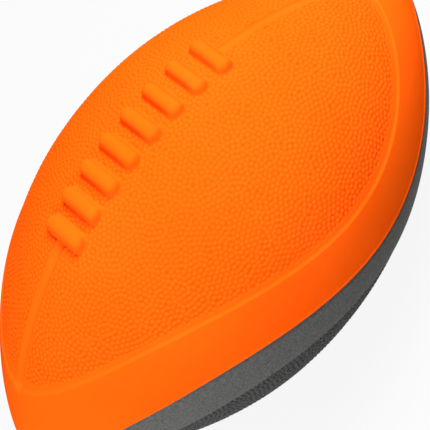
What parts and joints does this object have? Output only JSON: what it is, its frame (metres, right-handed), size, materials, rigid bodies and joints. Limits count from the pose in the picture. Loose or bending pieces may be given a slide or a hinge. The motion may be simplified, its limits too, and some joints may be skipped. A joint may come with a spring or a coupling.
{
  "type": "american football",
  "caption": "Pointed foam ball with moulded lace bars, two sunk grip panels and two skins that meet along an S-shaped line",
  "frame": {"origin": "middle of the ball, where its long axis crosses the middle of the parting line", "axes": "+X along the long axis, +Z out through the middle of the laces, +Y across the laces"},
  "size_m": [0.2298, 0.1336, 0.1351],
  "materials": {
    "upper_skin": "satin moulded foam skin",
    "lower_skin": "matte moulded foam skin",
    "foam_core": "open-cell foam"
  },
  "bodies": {
    "root": {"upper_skin": "upper_skin", "lower_skin": "lower_skin", "foam_core": "foam_core"}
  },
  "joints": []
}
